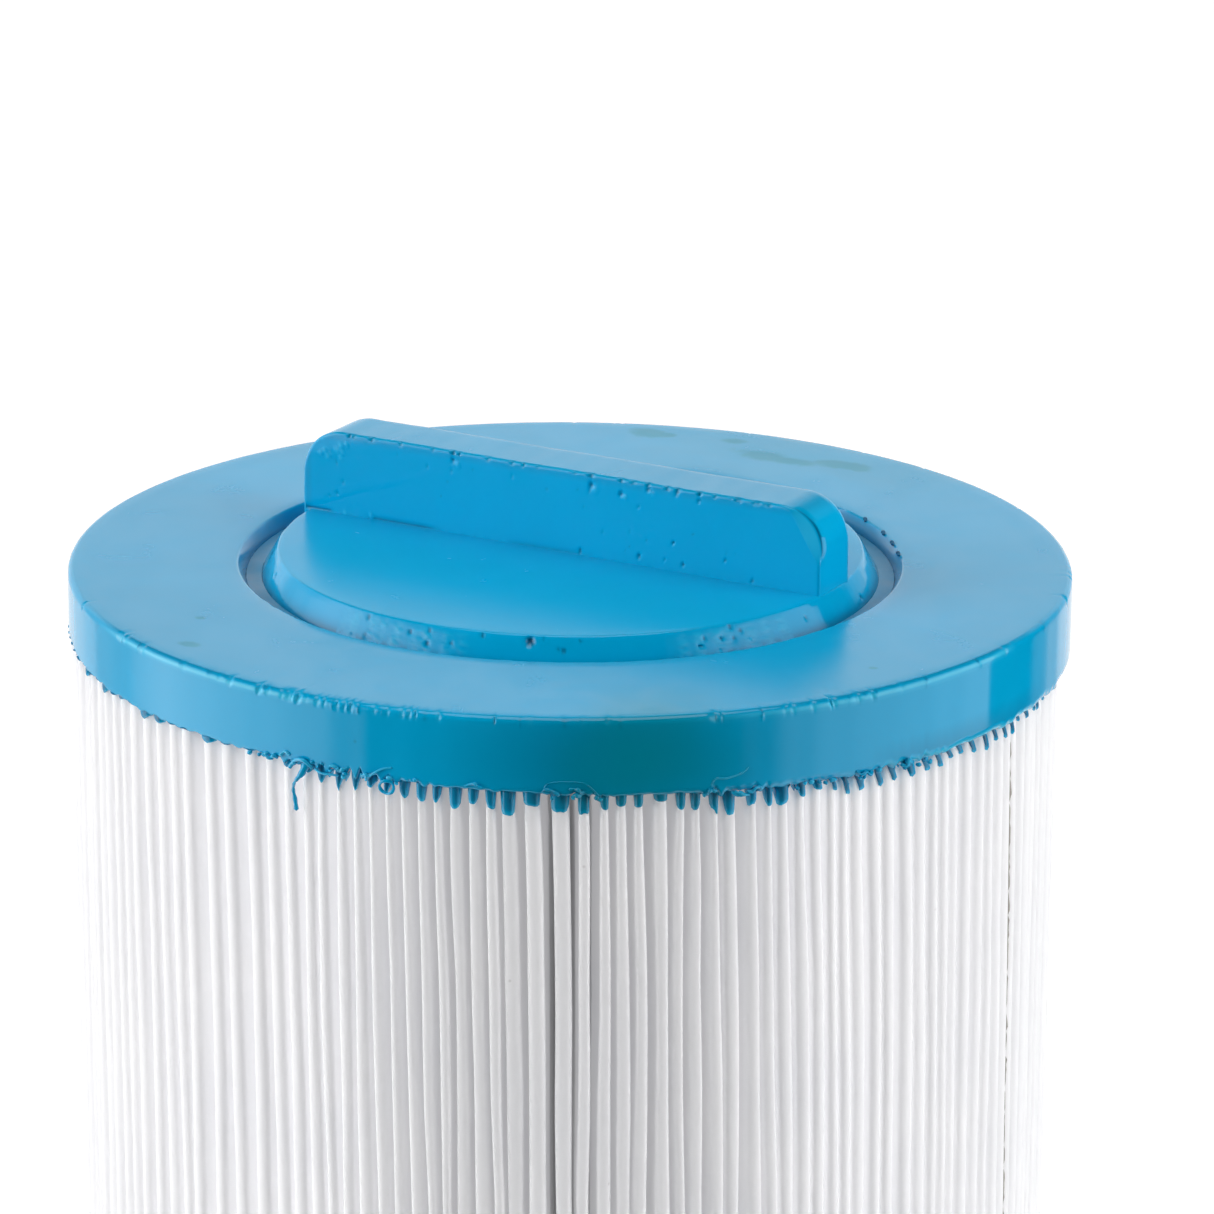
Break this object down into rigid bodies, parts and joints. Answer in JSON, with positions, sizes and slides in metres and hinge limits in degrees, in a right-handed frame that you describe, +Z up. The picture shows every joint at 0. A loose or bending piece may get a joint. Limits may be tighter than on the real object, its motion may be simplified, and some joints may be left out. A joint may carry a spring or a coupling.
{
  "type": "pleated spa filter cartridge",
  "caption": "Pleated spa water filter with blue moulded end caps, a grab bar on top and a threaded outlet below.",
  "frame": {"origin": "on the axis, in the plane of the lower cap's seating face, where the outlet's pilot collar meets the cap", "axes": "+Z up along the cartridge's axis, from the outlet towards the grab bar; the grab bar runs along X"},
  "size_m": [0.152, 0.152, 0.243],
  "materials": {
    "cast_polyurethane": "glossy cast polyurethane, sky blue",
    "polyester_cloth": "white spun-bonded polyester cloth, pleated",
    "seam_adhesive": "brownish grey hot glue",
    "core_plastic": "natural moulded plastic",
    "adaptor_plastic": "white moulded plastic"
  },
  "bodies": {
    "root": {"top_end_cap": "cast_polyurethane", "handle_plug": "cast_polyurethane", "bottom_end_cap": "cast_polyurethane", "pleated_media": "polyester_cloth", "seam_bead": "seam_adhesive", "core_tube": "core_plastic", "threaded_adaptor": "adaptor_plastic"}
  },
  "joints": []
}
